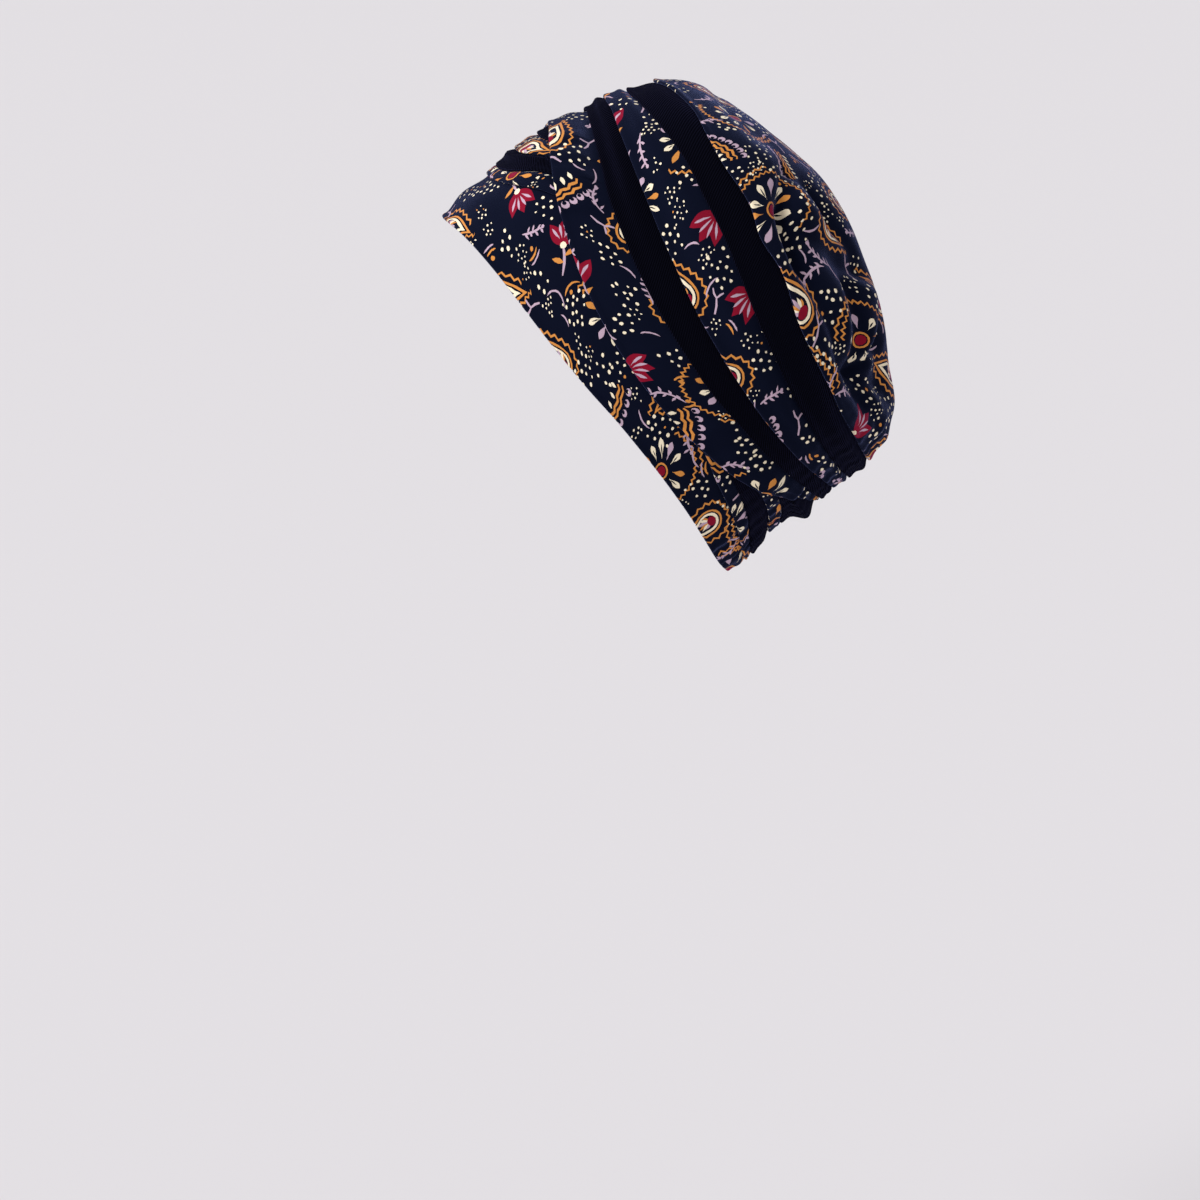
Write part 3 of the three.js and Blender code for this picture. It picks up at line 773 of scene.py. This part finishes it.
class StripMap:
    """Flat cloth coordinates of a strip: millimetres around it and from its front fold."""

    def __init__(self, piece):
        self.piece = piece
        self.angles = column_angles(piece)
        middle = (around_table(piece.front, self.angles) + around_table(piece.rear, self.angles)) / 2
        spots = base_point(self.angles, middle)
        self.around = np.concatenate([[0], np.cumsum(length_of(np.diff(spots, axis=0)))])

    def surface(self, q):
        return self.piece.outer(np.interp(q[:, 0], self.around, self.angles), q[:, 1])

    def clamp(self, polygon):
        reach = np.interp(polygon[:, 0], self.around, around_table(self.piece.reach, self.angles))
        x = np.clip(polygon[:, 0], self.around[0] + END_MARGIN, self.around[-1] - END_MARGIN)
        return np.stack([x, np.clip(polygon[:, 1], FOLD_MARGIN - FOLD_RUN, reach - REAR_MARGIN)], -1)


class CrownMap:
    """Flat cloth coordinates of the crown: a disc around the pole."""

    def __init__(self, piece):
        self.piece = piece
        self.angles = column_angles(piece)

    def surface(self, q):
        u = np.arctan2(q[:, 1], q[:, 0])
        return self.piece.outer(u, around_table(self.piece.reach, u) - np.hypot(q[:, 0], q[:, 1]))

    def clamp(self, polygon):
        u = np.arctan2(polygon[:, 1], polygon[:, 0])
        radius = np.hypot(polygon[:, 0], polygon[:, 1])
        inside = np.minimum(radius, around_table(self.piece.reach, u) + FOLD_RUN - CROWN_MARGIN)
        return polygon * (inside / np.maximum(radius, 1e-6))[:, None]


def normals_of(surface, q):
    across = surface(q + [NORMAL_REACH, 0]) - surface(q - [NORMAL_REACH, 0])
    onward = surface(q + [0, NORMAL_REACH]) - surface(q - [0, NORMAL_REACH])
    return unit(np.cross(across, onward))


def printed_shapes(piece, flat, low, high):
    """The motifs that fall on the piece, with their corners brought inside its edges."""
    shapes = []
    for ink, polygon in print_layout(low, high, PRINT_SEEDS[piece.name]):
        inside = kept_inside(polygon, flat.clamp)
        if inside is not None:
            shapes.append((ink, inside))
    return shapes


def corners(index):
    """The four corners of every face of a grid."""
    return index[:-1, :-1], index[:-1, 1:], index[1:, 1:], index[1:, :-1]


def strip_mesh(piece):
    """A wrap or pleat as a closed shell: vertices, normals, triangles, inks, flat corners, flat size."""
    flat = StripMap(piece)
    reach = around_table(piece.reach, flat.angles)
    columns = len(flat.angles)
    rows = max(int(np.ceil(reach.max() / ROW_PITCH)), FEWEST_ROWS)
    shares = np.linspace(0, 1, rows + 1)
    fold = -FOLD_RUN * np.arange(FOLD_ROWS, 0, -1) / FOLD_ROWS
    depths = np.concatenate([np.repeat(fold[:, None], columns, 1), shares[:, None] * reach], 0)
    grid = np.stack([np.broadcast_to(flat.around, depths.shape), depths], -1)
    height = len(depths)
    index = np.arange(height * columns).reshape(height, columns)
    points = grid.reshape(-1, 2)
    closed = piece.span is None
    if piece.cloth == "print":
        outline = [*index[0], *index[1:, -1], *index[-1, -2::-1], *index[-2:0:-1, 0]]
        shapes = printed_shapes(piece, flat, points.min(0), points.max(0))
        points, triangles, inks, place = cut_cloth(points, outline, shapes)
        index = np.vectorize(place.get)(index)
    else:
        a, b, c, d = corners(index)
        triangles = np.concatenate([
            np.stack([a, b, c], -1).reshape(-1, 3), np.stack([a, c, d], -1).reshape(-1, 3)
        ])
        inks = np.zeros(len(triangles), int)
    outer = flat.surface(points)
    outer_normals = normals_of(flat.surface, points)

    # The inner face has the same columns, and shares the fold's inner row and no other
    inner_u = np.tile(flat.angles, rows + 1)
    inner_share = np.repeat(shares, columns)
    inner = piece.inner(inner_u, inner_share)
    inner_normals = -slopes_at(inner_u, piece.place_at(inner_u, inner_share))[2]
    inner_depth = -FOLD_RUN - inner_share * np.tile(reach, rows + 1)
    inner_flat = np.stack([np.tile(flat.around, rows + 1), inner_depth], -1)
    inner_index = len(points) + np.arange((rows + 1) * columns).reshape(rows + 1, columns)
    inner_index[0] = index[0]
    a, b, c, d = corners(inner_index)
    parts = [triangles, np.stack([a, c, b], -1).reshape(-1, 3), np.stack([a, d, c], -1).reshape(-1, 3)]
    top, under = index[-1], inner_index[-1]
    parts.append(np.stack([top[:-1], top[1:], under[1:]], -1))
    parts.append(np.stack([top[:-1], under[1:], under[:-1]], -1))
    if not closed:
        outer_rows = index[FOLD_ROWS:]
        tip = index[:FOLD_ROWS + 1]
        for end, flip in ((0, False), (-1, True)):
            caps = []
            for k in range(rows):
                o0, o1 = outer_rows[k, end], outer_rows[k + 1, end]
                i0, i1 = inner_index[k, end], inner_index[k + 1, end]
                if k == 0:
                    caps += [(tip[0, end], tip[j + 1, end], tip[j, end]) for j in range(1, FOLD_ROWS)]
                caps += [(i0, i1, o1), (i0, o1, o0)]
            caps = np.array(caps)
            parts.append(caps[:, ::-1] if flip else caps)
    all_triangles = np.concatenate(parts)
    all_inks = np.concatenate([inks, np.zeros(len(all_triangles) - len(inks), int)])
    vertices = np.concatenate([outer, inner])
    normals = np.concatenate([outer_normals, inner_normals])
    flat_spots = np.concatenate([points, inner_flat])
    corner_flat = flat_spots[all_triangles]
    if closed:
        joined = np.arange(len(vertices))
        joined[index[:, -1]] = index[:, 0]
        joined[inner_index[:, -1]] = inner_index[:, 0]
        all_triangles = joined[all_triangles]
    middles = (reach[1:] + reach[:-1]) / 2 + FOLD_RUN
    flat_size = (flat.around[-1], reach.max() + FOLD_RUN, float((middles * np.diff(flat.around)).sum()))
    return vertices, normals, all_triangles, all_inks, corner_flat, flat_size


# Rings of points behind the crown's fold, how far from it the even grid begins, and its rows' share
EDGE_RINGS, GRID_FROM, GRID_ROW_SHARE = [0, 1.3, 2.6], 3.6, 0.9


def crown_mesh(piece):
    """The crown as a closed shell, given as strip_mesh gives it."""
    flat = CrownMap(piece)
    angles = flat.angles[:-1]
    columns = len(angles)
    reach = around_table(piece.reach, angles)
    ways = np.stack([np.cos(angles), np.sin(angles)], -1)
    rings = [-FOLD_RUN * k / FOLD_ROWS for k in range(FOLD_ROWS, 0, -1)] + EDGE_RINGS
    points = np.concatenate([ways * (reach - t)[:, None] for t in rings])
    size = reach.max()
    side = np.arange(-size, size + CROWN_PITCH, CROWN_PITCH)
    x, y = np.meshgrid(side, side * GRID_ROW_SHARE)
    x = x + 0.5 * CROWN_PITCH * (np.arange(len(side)) % 2)[:, None]
    grid = np.stack([x.ravel(), y.ravel()], -1)
    room = around_table(piece.reach, np.arctan2(grid[:, 1], grid[:, 0])) - np.hypot(grid[:, 0], grid[:, 1])
    points = np.concatenate([points, grid[room > GRID_FROM]])
    shapes = printed_shapes(piece, flat, np.array([-size, -size]), np.array([size, size]))
    points, triangles, inks, place = cut_cloth(points, list(range(columns)), shapes)
    edge = np.array([place[k] for k in range(columns)])
    outer = flat.surface(points)
    outer_normals = normals_of(flat.surface, points)
    shares = np.linspace(0, 1, CROWN_INNER_RINGS + 1)[:-1]
    inner_u = np.tile(angles, len(shares))
    inner_share = np.repeat(shares, columns)
    inner = piece.inner(inner_u, inner_share)
    inner_normals = -slopes_at(inner_u, piece.place_at(inner_u, inner_share))[2]
    inner_depth = -FOLD_RUN - inner_share * np.tile(reach, len(shares))
    inner_flat = np.stack([inner_u * CROWN_RADIUS, inner_depth], -1)
    pole_spot = base_point(one(0), one(POLE))
    pole_outward = slopes_at(one(0), one(POLE))[2]
    pole = pole_spot + pole_outward * relief(one(0), one(POLE), pole_spot)[:, None]
    vertices = np.concatenate([outer, inner, pole])
    normals = np.concatenate([outer_normals, inner_normals, -pole_outward])
    flat_spots = np.concatenate([points, inner_flat, [[0, 0]]])
    inner_index = len(points) + np.arange(len(inner)).reshape(len(shares), columns)
    inner_index[0] = edge
    ahead = np.roll(inner_index, -1, axis=1)
    a, b, c, d = inner_index[:-1], ahead[:-1], ahead[1:], inner_index[1:]
    last = np.full(columns, len(vertices) - 1)
    parts = [
        triangles, np.stack([a, c, b], -1).reshape(-1, 3), np.stack([a, d, c], -1).reshape(-1, 3),
        np.stack([inner_index[-1], last, ahead[-1]], -1),
    ]
    all_triangles = np.concatenate(parts)
    all_inks = np.concatenate([inks, np.zeros(len(all_triangles) - len(inks), int)])
    breadth = 2 * (reach.max() + FOLD_RUN)
    flat_size = (breadth, breadth, float(np.pi * ((reach + FOLD_RUN) ** 2).mean()))
    return vertices, normals, all_triangles, all_inks, flat_spots[all_triangles], flat_size


def linear(*colour):
    """A colour of three levels from 0 to 255 as the linear colour that a shader takes."""
    shares = [c / 255 for c in colour]
    return tuple(((s + 0.055) / 1.055) ** 2.4 if s > 0.04045 else s / 12.92 for s in shares) + (1.0,)


INKS = [
    linear(12, 16, 32), linear(250, 236, 206), linear(214, 142, 70), linear(194, 168, 186),
    linear(138, 21, 44),
]
NAVY = linear(6, 6, 14)
PALE = linear(222, 219, 222)

# The weave's scale, strength and depth, and the cloth's roughness, sheen and the sheen's tint
PRINT_WEAVE, NAVY_WEAVE = (2200, 0.25, 0.0002), (420, 0.9, 0.0005)
PRINT_FINISH, NAVY_FINISH = (0.85, 0.38, (0.3, 0.36, 0.8, 1)), (0.9, 0.1, (0.24, 0.25, 0.7, 1))
SPECULAR, SHEEN_ROUGHNESS, FLOOR_ROUGHNESS = 0.01, 0.35, 0.95
WAVE_DISTORTION, CROSS_RIBS = 0.6, 0.35
# How much the threads lighten and darken the print, and how much the navy cloth is painted lighter on its
# rib tops and darker in the grooves between them, a painted highlight and painted shade that follow the rib
# bump
THREAD_SCALE, THREAD_TONES, RIB_SHADE_TONES, RIB_FULL = 1300, (0.72, 1.28), (0.55, 1.6), 1.35


def new_material(name):
    material = bpy.data.materials.new(name)
    material.use_nodes = True
    nodes, links = material.node_tree.nodes, material.node_tree.links
    return material, nodes, links, nodes.get("Principled BSDF")


def set_inputs(node, values):
    for name, value in values.items():
        node.inputs[name].default_value = value


def weave(nodes, links, scale, strength, distance, diagonal=False):
    """A bump of crossing threads, or of diagonal ribs, on the flat cloth coordinates."""
    uv = nodes.new("ShaderNodeUVMap")
    uv.uv_map = "cloth"
    mapping = nodes.new("ShaderNodeMapping")
    set_inputs(mapping, {"Scale": (scale, scale, 1)})
    links.new(uv.outputs[0], mapping.inputs[0])
    waves = []
    for direction in ("X", "Y"):
        wave = nodes.new("ShaderNodeTexWave")
        wave.bands_direction = "DIAGONAL" if diagonal and direction == "X" else direction
        set_inputs(wave, {"Scale": 1, "Distortion": WAVE_DISTORTION, "Detail": 1})
        links.new(mapping.outputs[0], wave.inputs[0])
        waves.append(wave)
    mix = nodes.new("ShaderNodeMath")
    mix.operation = "MULTIPLY_ADD"
    mix.inputs[1].default_value = CROSS_RIBS if diagonal else 1.0
    links.new(waves[1].outputs["Fac"], mix.inputs[0])
    links.new(waves[0].outputs["Fac"], mix.inputs[2])
    bump = nodes.new("ShaderNodeBump")
    set_inputs(bump, {"Strength": strength, "Distance": distance})
    links.new(mix.outputs[0], bump.inputs["Height"])
    return bump, mix


def tone_by(nodes, links, factor, tones, full=1.0):
    """A colour node that goes from dark to light with a factor between 0 and full."""
    value = nodes.new("ShaderNodeMapRange")
    set_inputs(value, {"From Max": full, "To Min": tones[0], "To Max": tones[1]})
    links.new(factor, value.inputs["Value"])
    tone = nodes.new("ShaderNodeHueSaturation")
    links.new(value.outputs[0], tone.inputs["Value"])
    return tone


def finish_cloth(links, shader, tone, bump, finish):
    roughness, sheen, sheen_tint = finish
    links.new(tone.outputs[0], shader.inputs["Base Color"])
    links.new(bump.outputs[0], shader.inputs["Normal"])
    set_inputs(shader, {
        "Roughness": roughness, "Specular IOR Level": SPECULAR, "Sheen Weight": sheen,
        "Sheen Roughness": SHEEN_ROUGHNESS, "Sheen Tint": sheen_tint,
    })


def make_print_cloth():
    material, nodes, links, shader = new_material("print_cloth")
    ink = nodes.new("ShaderNodeAttribute")
    ink.attribute_name = "ink"
    ramp = nodes.new("ShaderNodeValToRGB")
    ramp.color_ramp.interpolation = "CONSTANT"
    while len(ramp.color_ramp.elements) < len(INKS):
        ramp.color_ramp.elements.new(0.5)
    for k, element in enumerate(ramp.color_ramp.elements):
        element.position = max((k - 0.5) / len(INKS), 0)
        element.color = INKS[k]
    links.new(ink.outputs["Fac"], ramp.inputs[0])
    noise = nodes.new("ShaderNodeTexNoise")
    set_inputs(noise, {"Scale": THREAD_SCALE, "Detail": 2})
    tone = tone_by(nodes, links, noise.outputs["Fac"], THREAD_TONES)
    links.new(ramp.outputs["Color"], tone.inputs["Color"])
    bump = weave(nodes, links, *PRINT_WEAVE)[0]
    finish_cloth(links, shader, tone, bump, PRINT_FINISH)
    return material


def make_navy_cloth():
    material, nodes, links, shader = new_material("navy_cloth")
    bump, ribs = weave(nodes, links, *NAVY_WEAVE, diagonal=True)
    # The rib height that makes the bump also paints the navy lighter on the rib tops and darker in the
    # grooves: painted highlight and painted shade
    tone = tone_by(nodes, links, ribs.outputs[0], RIB_SHADE_TONES, RIB_FULL)
    set_inputs(tone, {"Color": NAVY})
    finish_cloth(links, shader, tone, bump, NAVY_FINISH)
    return material


materials = {"print": make_print_cloth(), "navy": make_navy_cloth()}


def add_piece(piece):
    made = crown_mesh(piece) if piece is crown else strip_mesh(piece)
    vertices, normals, triangles, inks, corner_flat, (across, onward, area) = made
    used, triangles = np.unique(triangles, return_inverse=True)
    triangles = triangles.reshape(-1, 3)
    vertices, normals = vertices[used] * METRES, normals[used]
    mesh = bpy.data.meshes.new(piece.name)
    mesh.vertices.add(len(vertices))
    mesh.vertices.foreach_set("co", vertices.astype(np.float32).ravel())
    mesh.loops.add(len(triangles) * 3)
    mesh.loops.foreach_set("vertex_index", triangles.astype(np.int32).ravel())
    mesh.polygons.add(len(triangles))
    mesh.polygons.foreach_set("loop_start", np.arange(0, len(triangles) * 3, 3, dtype=np.int32))
    mesh.polygons.foreach_set("use_smooth", np.ones(len(triangles), bool))
    mesh.update(calc_edges=True)
    ink = mesh.attributes.new("ink", "FLOAT", "FACE")
    ink.data.foreach_set("value", (inks / len(INKS)).astype(np.float32))
    uv = mesh.uv_layers.new(name="cloth")
    uv.data.foreach_set("uv", (corner_flat.reshape(-1, 2) * METRES).astype(np.float32).ravel())
    mesh.materials.append(materials[piece.cloth])
    mesh.normals_split_custom_set_from_vertices([tuple(n) for n in normals])
    ob = bpy.data.objects.new("cloth_" + piece.name, mesh)
    bpy.context.scene.collection.objects.link(ob)
    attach(ob, "root")
    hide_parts(piece.name)


for piece in (front_band, *pleats, side_wrap, navy_front, print_band, navy_rear, crown):
    add_piece(piece)

# Floor, light and camera, in metres
FLOOR_SIZE, FLOOR_HEIGHT = 120, -0.62
WORLD_COLOUR, WORLD_STRENGTH = (0.97, 0.96, 0.98, 1), 0.44
CAMERA_SPOT, CAMERA_WAY = (2.4111, -0.1245, 0.0851), (-0.98988, 0.04322, -0.13520)
CAMERA_LENS, CAMERA_END = 151.2, 200

bpy.ops.mesh.primitive_plane_add(size=FLOOR_SIZE, location=(0, 0, FLOOR_HEIGHT))
floor = bpy.context.object
floor.name = "floor"
pale, _, _, shader = new_material("pale_floor")
set_inputs(shader, {"Base Color": PALE, "Roughness": FLOOR_ROUGHNESS})
floor.data.materials.append(pale)

scene = bpy.context.scene
world = bpy.data.worlds.new("studio")
world.use_nodes = True
background = world.node_tree.nodes["Background"]
background.inputs[0].default_value = WORLD_COLOUR
background.inputs[1].default_value = WORLD_STRENGTH
scene.world = world
scene.view_settings.view_transform = "Standard"


def add_sun(name, energy, width, direction):
    sun = bpy.data.lights.new(name, "SUN")
    sun.energy = energy
    sun.angle = math.radians(width)
    lamp = bpy.data.objects.new(name, sun)
    lamp.rotation_mode = "QUATERNION"
    lamp.rotation_quaternion = Vector(direction).to_track_quat("-Z", "Y")
    scene.collection.objects.link(lamp)


add_sun("key", energy=3.1, width=35, direction=(-0.42, 0.78, -0.72))
add_sun("rear", energy=0.08, width=60, direction=(-0.35, -0.85, -0.4))

forward = Vector(CAMERA_WAY).normalized()
right = forward.cross(Vector((0, 0, 1))).normalized()
up = right.cross(forward)
camera_data = bpy.data.cameras.new("camera")
camera_data.sensor_width = 36
camera_data.lens = CAMERA_LENS
camera_data.clip_end = CAMERA_END
camera = bpy.data.objects.new("camera", camera_data)
turn = Matrix((right, up, -forward)).transposed().to_4x4()
camera.matrix_world = Matrix.Translation(CAMERA_SPOT) @ turn
scene.collection.objects.link(camera)
scene.camera = camera
